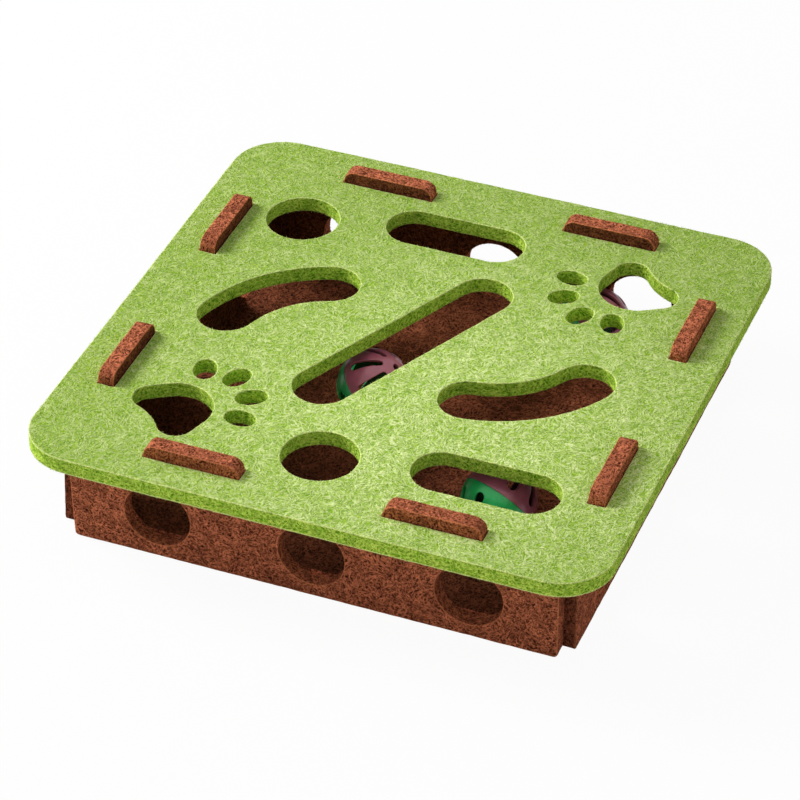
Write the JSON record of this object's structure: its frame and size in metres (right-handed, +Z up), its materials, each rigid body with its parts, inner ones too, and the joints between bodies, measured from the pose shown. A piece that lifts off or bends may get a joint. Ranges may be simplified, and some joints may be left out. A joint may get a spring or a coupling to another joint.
{
  "type": "cat felt maze box",
  "caption": "Square felt cat toy box with a lift-off slotted top board held on wall tabs, paw holes in its walls, and rattling bell balls that roll on its floor.",
  "frame": {"origin": "on the ground under the middle of the box", "axes": "+Z up, the front wall faces -Y, +X to the right seen from the front"},
  "size_m": [0.3, 0.3, 0.0671],
  "materials": {
    "green_felt": "heathered yellow-green pressed felt, matt and fuzzy at its cut edges",
    "brown_felt": "dark reddish-brown pressed felt, matt and fuzzy at its cut edges",
    "mauve_plastic": "moulded plastic, half gloss",
    "green_plastic": "moulded plastic, half gloss",
    "bell_brass": "thin pressed sheet, bright",
    "pellet_steel": "plain ball"
  },
  "bodies": {
    "box": {"front_wall": "brown_felt", "back_wall": "brown_felt", "left_wall": "brown_felt", "right_wall": "brown_felt", "base_panel": "brown_felt"},
    "lid": {"top_board": "green_felt"},
    "middle_bell_carrier": {"middle_bell": "bell_brass"},
    "middle_ball": {"middle_ball_mauve_half": "mauve_plastic", "middle_ball_green_half": "green_plastic"},
    "middle_rattle": {"middle_pellet": "pellet_steel"},
    "front_bell_carrier": {"front_bell": "bell_brass"},
    "front_ball": {"front_ball_mauve_half": "mauve_plastic", "front_ball_green_half": "green_plastic"},
    "front_rattle": {"front_pellet": "pellet_steel"},
    "back_bell_carrier": {"back_bell": "bell_brass"},
    "back_ball": {"back_ball_mauve_half": "mauve_plastic", "back_ball_green_half": "green_plastic"},
    "back_rattle": {"back_pellet": "pellet_steel"}
  },
  "joints": [
    {"name": "lid_lift", "type": "slide", "parent": "box", "child": "lid", "axis": [0, 0, 1], "range_m": [0, 0.06]},
    {"name": "middle_ball_travel", "type": "slide", "parent": "box", "child": "middle_bell_carrier", "axis": [1, 0, 0], "range_m": [-0.0808, 0.1228]},
    {"name": "middle_ball_roll", "type": "hinge", "parent": "middle_bell_carrier", "child": "middle_ball", "pos_m": [-0.021, 0.0018, 0.0278], "axis": [0, 1, 0], "range_deg": [-246, 373]},
    {"name": "middle_pellet_swing", "type": "hinge", "parent": "middle_bell_carrier", "child": "middle_rattle", "pos_m": [-0.021, 0.0018, 0.0174], "axis": [0, 1, 0], "range_deg": [-35, 35]},
    {"name": "front_ball_travel", "type": "slide", "parent": "box", "child": "front_bell_carrier", "axis": [1, 0, 0], "range_m": [-0.1724, 0.0312]},
    {"name": "front_ball_roll", "type": "hinge", "parent": "front_bell_carrier", "child": "front_ball", "pos_m": [0.0706, -0.0626, 0.0278], "axis": [0, 1, 0], "range_deg": [-522, 97]},
    {"name": "front_pellet_swing", "type": "hinge", "parent": "front_bell_carrier", "child": "front_rattle", "pos_m": [0.0706, -0.0626, 0.0174], "axis": [0, 1, 0], "range_deg": [-35, 35]},
    {"name": "back_ball_travel", "type": "slide", "parent": "box", "child": "back_bell_carrier", "axis": [1, 0, 0], "range_m": [-0.167, 0.0366]},
    {"name": "back_ball_roll", "type": "hinge", "parent": "back_bell_carrier", "child": "back_ball", "pos_m": [0.0652, 0.095, 0.0278], "axis": [0, 1, 0], "range_deg": [-506, 113]},
    {"name": "back_pellet_swing", "type": "hinge", "parent": "back_bell_carrier", "child": "back_rattle", "pos_m": [0.0652, 0.095, 0.0174], "axis": [0, 1, 0], "range_deg": [-35, 35]}
  ],
  "couplings": [
    {"joint": "middle_ball_roll", "follows": "middle_ball_travel", "rad_per_m": 52.632},
    {"joint": "front_ball_roll", "follows": "front_ball_travel", "rad_per_m": 52.632},
    {"joint": "back_ball_roll", "follows": "back_ball_travel", "rad_per_m": 52.632}
  ]
}
